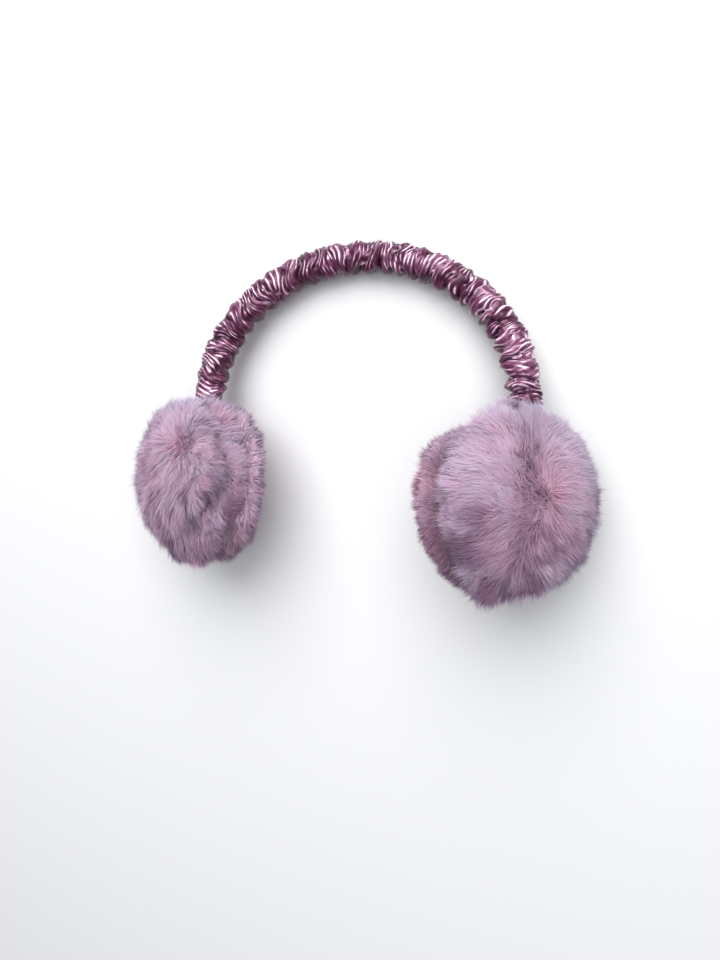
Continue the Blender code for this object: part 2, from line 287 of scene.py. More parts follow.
def dome_points(angle, around, radius, dome, back, pile, dents):
    """The dome's form in a muff's own axes, at angles from its pole and round it."""
    cosine, sine = np.cos(angle), np.sin(angle)
    toward = np.stack([cosine, sine * np.cos(around), sine * np.sin(around)], axis=-1)
    rise = pile * spot_sum(dents, "rise", toward)
    front = cosine > 0
    along = np.where(front, cosine * dome, -np.abs(cosine) ** BACK_FULLNESS * back)
    wide = radius * np.where(front, np.abs(sine) ** FRONT_FULLNESS, np.abs(sine) ** BACK_RIM_FULLNESS)
    out = np.maximum(back + along + rise * cosine, 0)
    reach = wide + rise * sine
    return np.stack([out, reach * np.cos(around), reach * np.sin(around)], axis=-1)


def make_form(place, size, flip=1, rows=150, columns=300):
    """A dense grid of a furry dome in the frame, with its normals, which fur grows from."""
    centre, axes = place
    axes = axes * np.array([[flip], [1], [1]])
    angle = np.radians(np.linspace(FIRST_ROW, LAST_ROW, rows))[:, None]
    around = 2 * math.pi * np.arange(columns + 1)[None, :] / columns
    local = dome_points(angle + 0 * around, around + 0 * angle, **size)
    world = centre + local @ axes
    normal = unit(np.cross(np.gradient(world, axis=1), np.gradient(world, axis=0)))
    outward = unit(world - centre - axes[0] * size["back"] / 2)
    if (normal * outward).sum() < 0:
        normal = -normal
    normal[:, 0] = normal[:, -1] = unit(normal[:, 0] + normal[:, -1])
    return {"centre": centre, "axes": axes, "world": world, "normal": normal, "size": size,
            "angle": angle[:, 0]}


def sample_form(form, count, random, weight=None):
    """Random places spread evenly over a form: their points, normals and two angles."""
    world, normal = form["world"], form["normal"]
    a = world[1:, :-1] - world[:-1, :-1]
    b = world[:-1, 1:] - world[:-1, :-1]
    area = np.linalg.norm(np.cross(a, b), axis=-1)
    if weight is not None:
        area = area * weight(form["angle"][:-1])[:, None]
    share = np.cumsum(area.ravel())
    picks = np.searchsorted(share, random.uniform(0, share[-1], count))
    i, j = np.unravel_index(np.minimum(picks, area.size - 1), area.shape)
    u, v = random.uniform(size=(2, count, 1))

    def blend(grid):
        near = grid[i, j] * (1 - v) + grid[i, j + 1] * v
        far = grid[i + 1, j] * (1 - v) + grid[i + 1, j + 1] * v
        return near * (1 - u) + far * u

    angle = form["angle"][i] + u[:, 0] * (form["angle"][1] - form["angle"][0])
    around = 2 * math.pi * (j + v[:, 0]) / (world.shape[1] - 1)
    return blend(world), unit(blend(normal)), angle, around


def place_on(form, around, from_pole):
    """The point of a form at degrees round it and from its pole."""
    local = dome_points(np.radians([from_pole]), np.radians([around]), **form["size"])
    return (form["centre"] + local @ form["axes"])[0]


def make_object(name, points, corners, totals, colours=None, normals=None):
    """A mesh object on the root body, from the faces' corners and how many each face has."""
    starts = np.r_[0, np.cumsum(totals)[:-1]]
    mesh = bpy.data.meshes.new(name)
    mesh.vertices.add(len(points))
    mesh.vertices.foreach_set("co", points.astype(np.float32).ravel())
    mesh.loops.add(len(corners))
    mesh.loops.foreach_set("vertex_index", corners.astype(np.int32))
    mesh.polygons.add(len(starts))
    mesh.polygons.foreach_set("loop_start", starts.astype(np.int32))
    mesh.polygons.foreach_set("loop_total", totals.astype(np.int32))
    mesh.polygons.foreach_set("use_smooth", np.full(len(starts), True))
    mesh.update(calc_edges=True)
    if normals is not None:
        mesh.normals_split_custom_set_from_vertices(normals.tolist())
    if colours is not None:
        layer = mesh.color_attributes.new("strand", "FLOAT_COLOR", "POINT")
        layer.data.foreach_set("color", colours.astype(np.float32).ravel())
    thing = bpy.data.objects.new(name, mesh)
    bpy.context.scene.collection.objects.link(thing)
    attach(thing, "root")
    return thing


def tube_corners(rings, sides):
    """The corners of each face of a tube made of rings of points."""
    i, j = np.meshgrid(np.arange(rings - 1), np.arange(sides), indexing="ij")
    k = (j + 1) % sides
    quads = np.stack([i * sides + j, i * sides + k, (i + 1) * sides + k, (i + 1) * sides + j], -1)
    return quads.reshape(-1, 4)


def grid_object(name, grid):
    """A smooth closed skin from a grid of points that goes round its second axis."""
    rows, columns = grid.shape[:2]
    quads = tube_corners(rows, columns)
    points = grid.reshape(-1, 3)
    corners = [quads.reshape(-1)]
    totals = [np.full(len(quads), 4)]
    j = np.arange(columns)
    k = (j + 1) % columns
    for row in (0, rows - 1):
        points = np.r_[points, grid[row].mean(axis=0)[None]]
        fan = np.stack([row * columns + k, row * columns + j, np.full(columns, len(points) - 1)], -1)
        if row:
            fan = fan[:, ::-1]
        corners.append(fan.reshape(-1))
        totals.append(np.full(columns, 3))
    return make_object(name, points, np.concatenate(corners), np.concatenate(totals))


def leg_axis(muff):
    """Two points on the line of a leg, in the frame."""
    x = muff["side"] * ARCH_HALF_SPAN
    low = muff["height"] + muff["radius"] - LEG_EMBED
    return from_arch(np.array([[x, low, 0.0], [x, SPRINGING + 0.02, 0.0]]))


def near_leg(points, muff, reach):
    """Which points lie inside the leg's tube of a given radius."""
    low, high = leg_axis(muff)
    run = high - low
    along = np.clip((points - low) @ run / (run @ run), 0, 1)
    return np.linalg.norm(points - low - along[..., None] * run, axis=-1) < reach


def turn_about(vectors, axes, angles):
    """Vectors square to the axes, turned about them."""
    return vectors * np.cos(angles)[:, None] + np.cross(axes, vectors) * np.sin(angles)[:, None]


def form_share(form, roots, axis):
    """How far points lie from a form's centre along one of its axes, as a share of its radius."""
    return (roots - form["centre"]) @ form["axes"][axis] / form["size"]["radius"]


def gather_locks(points, roots, wild, levels, random):
    """Pull strands together in locks, in place. Gives a random tint for each lock, by strand."""
    share = np.linspace(0, 1, points.shape[1])
    tints = []
    for level in levels:
        centres = random.choice(len(roots), level["count"], replace=False)
        tree = KDTree(len(centres))
        for index, centre in enumerate(centres):
            tree.insert(roots[centre], index)
        tree.balance()
        nearest = np.array([tree.find(root)[1] for root in roots])
        leader = centres[nearest]
        pull = level["pull"] * share ** level["late"]
        pull = np.where(wild[:, None], WILD_PULL, 1.0) * pull[None, :]
        sway = level["sway"] * random.normal(size=(level["count"], 3))[nearest]
        swing = share[None, :, None] ** 2 * sway[:, None, :]
        points += pull[..., None] * (points[leader] - points) + swing
        tints.append(random.uniform(size=level["count"])[nearest])
    return tints


def grow(form, muff, coat, flow, seed):
    """Strands of one coat: their points, and for each strand its normal and tints."""
    random = np.random.default_rng(seed)
    count = round(coat["count"] * muff["cover"])
    spare = int(count * SPARE_ROOTS)
    roots, normals, angles, around = sample_form(form, spare, random, coat.get("weight"))
    sine = np.sin(angles)
    toward = np.stack([np.cos(angles), sine * np.cos(around), sine * np.sin(around)], -1)
    # Painted shade at the spots and beside the outer fur, with painted light where negative.
    painted_shade = spot_sum(coat.get("spots", []), "painted_shade", toward)
    out = (roots - form["centre"]) @ form["axes"][0] / form["size"]["back"]
    painted_shade += coat.get("shade", 0) * np.clip(1 - out / SHADE_REACH, 0, 1)
    heading, raised = flow(form, roots)
    heading = heading - (heading * normals).sum(axis=1)[:, None] * normals
    heading = unit(heading + SLIGHT * form["axes"][1])
    broad = BROAD_BEND * waves(roots, BROAD_BEND_PITCH, seed + 1)
    fine = FINE_BEND * waves(roots, FINE_BEND_PITCH, seed + 2)
    bend = coat["wander"] * (broad + fine) + coat["stray"] * random.normal(size=len(roots))
    heading = turn_about(heading, normals, bend)
    length = coat["length"] * (1 + LENGTH_SWING * waves(roots, LENGTH_PITCH, seed + 3))
    length = length * random.uniform(*LENGTH_RANGE, len(roots))
    lift = coat["lift"] + LIFT_SWING * waves(roots, LIFT_PITCH, seed + 4)
    lift = lift + LIFT_SCATTER * random.normal(size=len(roots))
    lift += raised
    wild = random.uniform(size=len(roots)) < coat["wild"]
    lift[wild] += WILD_LIFT
    length[wild] *= WILD_LENGTH
    depth = coat["depth"] * (1 + DEPTH_SWING * waves(roots, DEPTH_PITCH, seed + 5))
    roots = roots - normals * depth[:, None]
    steps = coat["joints"] - 1
    points = np.empty((len(roots), coat["joints"], 3))
    points[:, 0] = roots
    for k in range(steps):
        rise = lift - (coat["droop"] - RAISED_DROOP * raised) * (k + 0.5) / steps
        ahead = normals * np.sin(rise)[:, None] + heading * np.cos(rise)[:, None]
        points[:, k + 1] = points[:, k] + ahead * (length / steps)[:, None]
    tints = gather_locks(points, roots, wild, coat["locks"], random)
    floor = FLOOR_GAP + FLOOR_SCATTER * random.uniform(size=(len(roots), 1))
    points[..., 2] = np.maximum(points[..., 2], floor)
    clear = ~near_leg(points, muff, CUFF_RADIUS * LEG_SHARE).any(axis=1)
    chosen = np.flatnonzero(clear)[:count]
    roots = roots[chosen]
    # Painted shade toward each muff's bottom and on its far outer side, added to the spots' painted
    # shade.
    under = np.clip((-form_share(form, roots, 1) - UNDER_START) / (1 - UNDER_START), 0, 1)
    inner = np.clip(form_share(form, roots, 2), 0, 1)
    side = np.clip(-form_share(form, roots, 2), 0, 1)
    # A painted cool rim sheen: less on the inner side and underneath, more on the far outer side.
    round_rim = np.clip((np.degrees(angles[chosen]) - RIM_START) / RIM_SPREAD, 0, 1)
    rim = coat.get("cool", round_rim) * (1 - INNER_RIM * inner) - UNDER_RIM * under + SIDE_RIM * side
    return {
        "points": points[chosen], "normals": normals[chosen], "tints": [tint[chosen] for tint in tints],
        "own": random.uniform(size=len(chosen)), "rim": rim, "soft": coat.get("soft", SOFT_SHADE),
        "under": muff["painted_shade"] * under + SIDE_SHADE * side + painted_shade[chosen],
    }


def strand_colours(strands, along, seed):
    """For the material: how far along its strand each corner is, its tone, and its warmth."""
    roots, tints = strands["points"][:, 0], strands["tints"]
    # The painted shade darkens the tone, in patches.
    patch = 1 + PATCH_SWING * waves(roots, PATCH_PITCH, seed + 2)
    tone = BASE_TONE + TONE_RANGE * (LOCK_TONE * tints[-1] + OWN_TONE * strands["own"])
    tone = tone - strands["under"] * patch
    broad = 0.5 + WARM_SWING * waves(roots, WARM_PITCH, seed + 1)
    # Less warmth toward the rim: the painted cool rim sheen.
    warmth = BROAD_WARMTH * broad + LOCK_WARMTH * tints[0] + BASE_WARMTH - RIM_WARMTH * strands["rim"]
    colours = np.ones((len(roots), len(along), 4))
    colours[..., 0] = along
    colours[..., 1] = np.clip(tone, 0, 1)[:, None]
    colours[..., 2] = np.clip(warmth, 0, 1)[:, None]
    return colours


def ribbons(name, strands, coat, seed):
    """Thin tapered ribbons along strands, facing outward with a little roll each."""
    random = np.random.default_rng(seed)
    points, normals = strands["points"], strands["normals"]
    count, joints = points.shape[:2]
    ahead = np.empty_like(points)
    ahead[:, 1:-1] = points[:, 2:] - points[:, :-2]
    ahead[:, 0] = points[:, 1] - points[:, 0]
    ahead[:, -1] = points[:, -1] - points[:, -2]
    ahead = unit(ahead)
    across = unit(np.cross(ahead, normals[:, None, :]))
    roll = np.repeat(coat["roll"] * random.normal(size=count), joints)
    across = turn_about(across.reshape(-1, 3), ahead.reshape(-1, 3), roll).reshape(points.shape)
    wide = coat["width"] * random.uniform(*WIDTH_RANGE, count)
    taper = np.interp(np.linspace(0, 1, joints)[:-1], *TAPER)
    half = (wide[:, None] * taper / 2)[..., None]
    soft = strands["soft"]
    face = unit(soft * normals[:, None, :] + (1 - soft) * unit(np.cross(across, ahead)))
    lit = np.concatenate([np.repeat(face[:, :-1], 2, axis=1), face[:, -1:]], axis=1)
    left = points[:, :-1] - across[:, :-1] * half
    right = points[:, :-1] + across[:, :-1] * half
    pairs = np.stack([left, right], axis=2).reshape(count, -1, 3)
    body = np.concatenate([pairs, points[:, -1:]], axis=1)
    body[..., 2] = np.maximum(body[..., 2], FLOOR_GAP)
    per = body.shape[1]
    pattern = []
    for k in range(joints - 2):
        pattern += [2 * k, 2 * k + 1, 2 * k + 3, 2 * k + 2]
    pattern += [per - 3, per - 2, per - 1]
    corners = (np.arange(count)[:, None] * per + np.array(pattern)).ravel()
    totals = np.tile([4] * (joints - 2) + [3], count)
    along = np.r_[np.repeat(np.linspace(0, 1, joints)[:-1], 2), 1.0]
    colours = strand_colours(strands, along, seed)
    return make_object(name, body.reshape(-1, 3), corners, totals, colours.reshape(-1, 4),
                       lit.reshape(-1, 3))


# The colour sockets of a mix node, by number, because its socket names repeat.
MIX_ONE = 6
MIX_TWO = 7
MIX_RESULT = 2
SKIN_MOTTLE = 0.75  # how dark the backing's darkest mottles are


def new_material(name):
    material = bpy.data.materials.new(name)
    material.use_nodes = True
    tree = material.node_tree
    return material, tree, tree.nodes["Principled BSDF"]


def add_ramp(tree, stops, source):
    """A colour looked up from a source by stops."""
    ramp = tree.nodes.new("ShaderNodeValToRGB")
    ramp.color_ramp.elements[0].position = stops[0][0]
    ramp.color_ramp.elements[0].color = (*stops[0][1], 1)
    ramp.color_ramp.elements[1].position = stops[-1][0]
    ramp.color_ramp.elements[1].color = (*stops[-1][1], 1)
    for place, colour in stops[1:-1]:
        ramp.color_ramp.elements.new(place).color = (*colour, 1)
    tree.links.new(source, ramp.inputs["Fac"])
    return ramp.outputs["Color"]


def strand_channels(tree):
    """The colour laid on a piece's points, split in three."""
    attribute = tree.nodes.new("ShaderNodeAttribute")
    attribute.attribute_name = "strand"
    split = tree.nodes.new("ShaderNodeSeparateColor")
    tree.links.new(attribute.outputs["Color"], split.inputs["Color"])
    return split.outputs


def multiply(tree, one, two):
    """One colour times another."""
    mix = tree.nodes.new("ShaderNodeMix")
    mix.data_type = "RGBA"
    mix.blend_type = "MULTIPLY"
    mix.inputs["Factor"].default_value = 1
    tree.links.new(one, mix.inputs[MIX_ONE])
    tree.links.new(two, mix.inputs[MIX_TWO])
    return mix.outputs[MIX_RESULT]


def add_noise(tree, scale, detail):
    """Noise fixed to the object."""
    place = tree.nodes.new("ShaderNodeTexCoord")
    noise = tree.nodes.new("ShaderNodeTexNoise")
    noise.inputs["Scale"].default_value = scale
    noise.inputs["Detail"].default_value = detail
    tree.links.new(place.outputs["Object"], noise.inputs["Vector"])
    return noise.outputs["Fac"]


def add_bump(tree, height, shader, strength, distance):
    """Relief from a height, on a shader."""
    bump = tree.nodes.new("ShaderNodeBump")
    bump.inputs["Strength"].default_value = strength
    bump.inputs["Distance"].default_value = distance
    tree.links.new(height, bump.inputs["Height"])
    tree.links.new(bump.outputs["Normal"], shader.inputs["Normal"])


def strand_material(name, look):
    """Fur strands: dark at the root and pale at the tip, tinted lock by lock."""
    material, tree, shader = new_material(name)
    channels = strand_channels(tree)
    along = add_ramp(tree, look["along"], channels["Red"])
    warm = add_ramp(tree, look["warm"], channels["Blue"])
    tone = add_ramp(tree, look["tone"], channels["Green"])
    tree.links.new(multiply(tree, multiply(tree, along, warm), tone), shader.inputs["Base Color"])
    shader.inputs["Roughness"].default_value = look["roughness"]
    shader.inputs["Specular IOR Level"].default_value = look["gloss"]
    shader.inputs["Sheen Weight"].default_value = look["sheen"]
    shader.inputs["Sheen Roughness"].default_value = 0.5
    shader.inputs["Sheen Tint"].default_value = (*look["sheen_tint"], 1)
    return material


def skin_material(name, colour):
    """The matted backing under the strands, mottled."""
    material, tree, shader = new_material(name)
    noise = add_noise(tree, scale=420, detail=4)
    dark = tuple(SKIN_MOTTLE * c for c in colour)
    ramp = add_ramp(tree, [(0.35, dark), (0.7, colour)], noise)
    tree.links.new(ramp, shader.inputs["Base Color"])
    add_bump(tree, noise, shader, strength=0.6, distance=0.0006)
    shader.inputs["Roughness"].default_value = 0.95
    return material


FUR_LOOK = {
    "along": [(0.0, (0.66, 0.42, 0.53)), (0.4, (0.67, 0.46, 0.58)), (0.8, (0.68, 0.545, 0.665)),
              (1.0, (0.70, 0.605, 0.73))],
    "warm": [(0.10, (0.85, 0.97, 0.98)), (0.80, (1.0, 0.90, 0.94))],
    "tone": [(0.0, (0.42, 0.33, 0.41)), (0.45, (0.785, 0.72, 0.78)), (1.0, (1.0, 1.0, 1.0))],
    "roughness": 0.66, "gloss": 0.18, "sheen": 0.05, "sheen_tint": (0.80, 0.86, 1.0),
}
# A darker copy of the fur's colours, for the right pad in shade: painted shade.
SHADED_PAD_LOOK = {
    "along": [(0.0, (0.53, 0.34, 0.43)), (0.45, (0.57, 0.39, 0.49)), (0.9, (0.60, 0.44, 0.54)),
              (1.0, (0.62, 0.48, 0.58))],
    "warm": [(0.15, (0.92, 0.97, 1.0)), (0.85, (1.0, 0.88, 0.92))],
    "tone": [(0.0, (0.56, 0.49, 0.55)), (0.45, (0.84, 0.81, 0.85)), (1.0, (1.0, 1.0, 1.0))],
    "roughness": 0.70, "gloss": 0.18, "sheen": 0.05, "sheen_tint": (0.80, 0.86, 1.0),
}


def skin_object(name, form, depth, rows=36, columns=64):
    """The backing under the fur, set in from the form by a depth."""
    pick_i = np.linspace(0, form["world"].shape[0] - 1, rows).astype(int)
    pick_j = np.linspace(0, form["world"].shape[1] - 1, columns + 1).astype(int)[:-1]
    world = form["world"][pick_i][:, pick_j]
    normal = form["normal"][pick_i][:, pick_j]
    grid = world - normal * depth
    grid[..., 2] = np.maximum(grid[..., 2], FLOOR_GAP)
    return grid_object(name, grid)


# How the fur is combed: at places given in degrees round the muff and from its pole, the way the
# strands point, in degrees from up toward the inner side, and how far they stand up.
COMBING = named_rows(("around", "from_pole", "toward", "raise"), {
    "left": [
        (0, 62, 355, 0.0),
        (0, 32, 300, 0.0),
        (330, 50, 325, 0.0),
        (30, 34, 280, 0.0),
        (20, 75, 15, 0.0),
        (24, 50, 312, 0.0),
        (42, 50, 30, 0.0),
        (58, 56, 75, 0.0),
        (50, 80, 75, 0.0),
        (70, 60, 100, 0.0),
        (75, 88, 95, 0.2),
        (66, 42, 130, 0.10),
        (46, 38, 60, 0.10),
        (48, 26, 225, 0.0),
        (85, 28, 190, 0.0),
        (92, 48, 150, 0.0),
        (98, 72, 118, 0.0),
        (115, 90, 130, 0.2),
        (90, 12, 195, 0.0),
        (125, 40, 168, 0.0),
        (130, 65, 150, 0.0),
        (160, 55, 170, 0.0),
        (175, 85, 168, 0.0),
        (200, 40, 195, 0.0),
        (240, 40, 215, 0.0),
        (275, 30, 240, 0.1),
        (320, 22, 250, 0.0),
    ],
    "right": [
        (0, 65, 0, 0.1),
        (25, 62, 20, 0.1),
        (30, 36, 48, 0.05),
        (18, 46, 28, 0.05),
        (24, 30, 55, 0.05),
        (52, 18, 72, 0.0),
        (95, 12, 90, 0.0),
        (0, 24, 276, 0.0),
        (2, 36, 284, 0.0),
        (50, 42, 62, 0.05),
        (60, 70, 72, 0.0),
        (90, 62, 92, 0.0),
        (80, 32, 84, 0.0),
        (102, 24, 86, 0.0),
        (120, 62, 108, 0.0),
        (122, 36, 110, 0.0),
        (150, 62, 128, 0.0),
        (146, 36, 128, 0.0),
        (138, 18, 120, 0.0),
        (170, 62, 178, 0.0),
        (178, 88, 180, 0.0),
        (180, 22, 225, 0.1),
        (182, 42, 250, 0.0),
        (205, 34, 255, 0.0),
        (215, 60, 240, 0.0),
        (265, 32, 268, 0.0),
        (270, 8, 262, 0.10),
        (345, 20, 275, 0.0),
        (350, 40, 292, 0.0),
        (335, 60, 310, 0.0),
        (300, 40, 276, 0.0),
    ],
})
COMB_BLEND = 0.006  # over what distance one stroke gives way to the next
RIM_OUT = 1.1  # from where back a dome's fur sweeps back, as a share of its rim's depth
RIM_SWEEP = 1.8  # how strongly it does, beside the strokes


def outer_flow(name):
    def flow(form, points):
        heading, raised, total = np.zeros_like(points), np.zeros(len(points)), 0
        for stroke in COMBING[name]:
            place = place_on(form, stroke["around"], stroke["from_pole"])
            share = 1 / (((points - place) ** 2).sum(axis=1) + COMB_BLEND ** 2) ** 2
            turn = math.radians(stroke["toward"])
            aim = math.cos(turn) * form["axes"][1] + math.sin(turn) * form["axes"][2]
            heading += share[:, None] * aim
            raised += share * stroke["raise"]
            total = total + share
        out = (points - form["centre"]) @ form["axes"][0]
        behind = np.clip(RIM_OUT - out / FUR_BACK, 0, 1)
        return heading / total[:, None] - RIM_SWEEP * behind[:, None] * form["axes"][0], raised / total

    return flow


# The row of fur round the left muff's seam: its half width, how far it is shifted toward the dome
# and lies inside the dome's edge, where it starts in degrees from its form's pole, and how much it
# fans out, leans toward the pad and lies down.
SEAM_HALF_WIDTH = 0.0125
SEAM_SHIFT = 0.0015
SEAM_INSET = 0.0005
SEAM_FROM = 55
SEAM_FAN = 0.4
SEAM_LEAN = 0.65
SEAM_FLATTEN = -0.25


def seam_flow(form, points):
    """Out from the muff's middle, fanning out over the pad."""
    off = points - form["centre"] - form["axes"][0] * form["size"]["back"]
    out = off @ form["axes"][0]
    across = unit(off - out[:, None] * form["axes"][0])
    fan = SEAM_FAN * np.clip(out / (SEAM_HALF_WIDTH / 2), -1, 1) - SEAM_LEAN
    return across + fan[:, None] * form["axes"][0], SEAM_FLATTEN * np.abs(fan)


# How far the pad's fur leans toward the ear at its root and over its crown, how softly it is
# lit, and how much painted shade it takes beside the outer fur, with painted light where negative.
PAD_LEAN = {
    "left": {"root": 0.5, "crown": 0.9, "soft": 0.90, "shade": -0.60},
    "right": {"root": -0.9, "crown": 0.7, "soft": 0.45, "shade": 0.45},
}
PAD_RIM = 0.6  # how much of the pad's depth its rim takes


def pad_flow(name):
    lean = PAD_LEAN[name]

    def flow(form, points):
        off = points - form["centre"]
        out = off @ form["axes"][0]
        across = unit(off - out[:, None] * form["axes"][0])
        share = np.clip(out / (PAD_FRONT * PAD_RIM), 0, 1)
        toward_ear = lean["root"] + (lean["crown"] - lean["root"]) * share
        return across + toward_ear[:, None] * form["axes"][0], np.zeros(len(points))

    return flow


def rim_only(angle):
    """The share of strands at an angle from the pole: all of them on the rim."""
    return np.where(np.degrees(angle) > SEAM_FROM, 1.0, 0.0)


# The coats of fur. Lift, droop, roll, wander and stray are in radians, and lengths in metres. Each
# level of locks has its count, how hard and how late it pulls strands together, and its sway.
OUTER_COATS = [
    {"name": "pile_under", "joints": 3, "count": 45000, "length": 0.0096, "lift": 1.05, "droop": 0.60,
     "depth": 0.0076, "width": 0.00028, "roll": 0.40, "wander": 0.35, "stray": 0.25, "wild": 0.005,
     "locks": [{"count": 520, "pull": 0.10, "late": 1.2, "sway": 0.0003},
               {"count": 12000, "pull": 0.20, "late": 1.0, "sway": 0.0002}]},
    {"name": "pile", "joints": 4, "count": 36000, "length": 0.0118, "lift": 0.80, "droop": 0.70,
     "depth": 0.0070, "width": 0.00021, "roll": 0.35, "wander": 0.38, "stray": 0.18, "wild": 0.002,
     "locks": [{"count": 420, "pull": 0.10, "late": 1.3, "sway": 0.0004},
               {"count": 10000, "pull": 0.26, "late": 1.1, "sway": 0.0002}]},
]
SEAM_COAT = {"joints": 3, "count": 32000, "length": 0.0105, "lift": 1.05, "droop": 0.60,
             "depth": 0.0045, "width": 0.00026, "roll": 0.40, "wander": 0.45, "stray": 0.35, "wild": 0.0,
             "weight": rim_only, "cool": 0.45, "soft": 0.75,
             "locks": [{"count": 300, "pull": 0.10, "late": 1.2, "sway": 0.0003},
                       {"count": 5000, "pull": 0.20, "late": 1.0, "sway": 0.0002}]}
PAD_COAT = {"joints": 3, "count": 30000, "length": 0.0068, "lift": 1.15, "droop": 0.50,
            "depth": 0.0045, "width": 0.00028, "roll": 0.45, "wander": 0.35, "stray": 0.30, "wild": 0.005,
            "locks": [{"count": 500, "pull": 0.06, "late": 1.2, "sway": 0.0003},
                      {"count": 9000, "pull": 0.20, "late": 1.0, "sway": 0.0002}]}


OUTER_SKIN_DEPTH = 0.0060
PAD_SKIN_DEPTH = 0.0050

# What is added to the seed for the left muff, for each coat, and for a coat's ribbons.
LEFT_SEED = 7
COAT_SEEDS = (0, 100)
SEAM_SEED = 200
PAD_SEED = 300
RIBBON_SEED = 50


def add_fur(name, form, muff, coat, flow, seed, material):
    """One coat of fur on a form, as a piece."""
    piece = ribbons(name, grow(form, muff, coat, flow, seed), coat, seed + RIBBON_SEED)
    piece.data.materials.append(material)


def dress_muff(name, fur, pad, fur_skin, pad_skin):
    """Both halves of a muff. The left one's dome and pad run together, in the same fur."""
    muff = MUFFS[name]
    place = muff_place(muff)
    outer = make_form(place, {"radius": muff["radius"], "dome": muff["dome"], "back": FUR_BACK,
                              "pile": FUR_PILE, "dents": FUR_DENTS[name]})
    skin = skin_object(name + "_outer_skin", outer, OUTER_SKIN_DEPTH)
    skin.data.materials.append(fur_skin)
    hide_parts(name + "_outer_fur")
    seed = SEED + (LEFT_SEED if name == "left" else 0)
    for coat, step in zip(OUTER_COATS, COAT_SEEDS):
        coat = dict(coat, spots=PAINTED_SHADE_SPOTS[name])
        piece_name = name + "_outer_" + coat["name"]
        add_fur(piece_name, outer, muff, coat, outer_flow(name), seed + step, fur)
    if name == "left":
        centre, axes = place
        size = {"radius": muff["radius"] - SEAM_INSET, "dome": SEAM_HALF_WIDTH, "back": SEAM_HALF_WIDTH,
                "pile": PAD_PILE, "dents": PAD_DENTS["seam"]}
        seam = make_form((centre - axes[0] * (SEAM_HALF_WIDTH - SEAM_SHIFT), axes), size)
        coat = dict(SEAM_COAT, spots=PAINTED_SHADE_SPOTS[name])
        seam_seed = SEED + SEAM_SEED
        add_fur("left_seam_pile", seam, muff, coat, seam_flow, seam_seed, fur)
    inner = make_form(place, {"radius": muff["pad"], "dome": PAD_CROWN, "back": PAD_FRONT,
                              "pile": PAD_PILE, "dents": PAD_DENTS[name]}, flip=-1)
    skin = skin_object(name + "_pad_skin", inner, PAD_SKIN_DEPTH)
    # The right pad's backing and strands take the darker copies of the fur's colours: painted shade.
    skin.data.materials.append(fur_skin if name == "left" else pad_skin)
    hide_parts(name + "_inner_pad")
    coat = dict(PAD_COAT, soft=PAD_LEAN[name]["soft"], shade=PAD_LEAN[name]["shade"])
    look = fur if name == "left" else pad
    add_fur(name + "_pad_pile", inner, muff, coat, pad_flow(name), seed + PAD_SEED, look)


# The gathers along the arch: how deep the folds are, as a share of the radius, how much painted
# highlight is added, and how far the sleeve bulges on the arch's inner and outer edge, in metres.
GATHERS = [
    {"along": 0.00, "depth": 0.28, "pale": 0.04, "inner": 0.0, "outer": 0.0},
    {"along": 0.10, "depth": 0.44, "pale": 0.03, "inner": 0.0004, "outer": 0.0006},
    {"along": 0.18, "depth": 0.48, "pale": 0.02, "inner": 0.0004, "outer": 0.0013},
    {"along": 0.36, "depth": 0.44, "pale": -0.03, "inner": 0.0, "outer": 0.0013},
    {"along": 0.55, "depth": 0.48, "pale": -0.04, "inner": 0.0002, "outer": 0.0},
    {"along": 0.76, "depth": 0.64, "pale": 0.03, "inner": 0.0014, "outer": -0.0010},
    {"along": 0.88, "depth": 0.66, "pale": 0.08, "inner": 0.0014, "outer": -0.0004},
    {"along": 1.00, "depth": 0.50, "pale": 0.08, "inner": 0.0, "outer": 0.0},
]
PATH_STEPS = 400
SLEEVE_RINGS = 760
SLEEVE_SIDES = 80
INNER_RINGS = 60
LOBE_PITCH = 0.0090
LOBE_SHARPNESS = 0.9
LOBE_MEAN = 0.60
FOLD_PITCH = 0.0048
FOLD_SHARPNESS = 1.5
FOLD_MEAN = 0.35
CRINKLE_PITCH = 0.0021
SECOND_PITCH = 1.2 * CRINKLE_PITCH
CRINKLE_SHARPNESS = 5.5
CRINKLE_MEAN = 0.3
CRINKLE_HEIGHT = 0.00017
FADE_PITCH = 0.0065  # over what distance the crinkles come and go, and how strongly
FADE_MEAN = 0.92
FADE_SWING = 0.36
FADE_RANGE = (0.2, 1.3)
SIDES_PITCH = 0.016  # over what distance one train of crinkles gives way to the other
SIDES_SHARPNESS = 4.0
INNER_EDGE_WIDTH = 0.75  # of the smooth inner edge, in radians
INNER_EDGE_LOSS = 0.75  # how much of the crinkles it loses
LOBES_OUTSIDE = 0.34  # how much of the lobes shows all round, and how much more inside the arch
LOBES_INSIDE = 0.66
LOBE_BASE = 0.80
LOBE_SWING = 0.30
FOLD_DEPTH = 0.20
FOLD_LOSS = 0.75  # how much of the folds is lost inside the arch
BEND_PITCH = 0.014  # over what distance folds bend
LEAN_PITCH = 0.018
SLEEVE_LEAN = 0.16  # how far the folds lean along the arch, as a share of the radius
BROAD_PITCH = 0.020

# How high a place lies in the folds, which sets its painted shade, and how strong its painted
# highlight is, from the lobes, folds and crinkles there.
FOLD_SHADE_BASE = 0.10
FOLD_SHADE_LOBES = 0.70
FOLD_SHADE_FOLDS = 0.30
LINE_HIGHLIGHT = 1.05
BROAD_HIGHLIGHT = 0.07
FOLD_HIGHLIGHT = 0.16


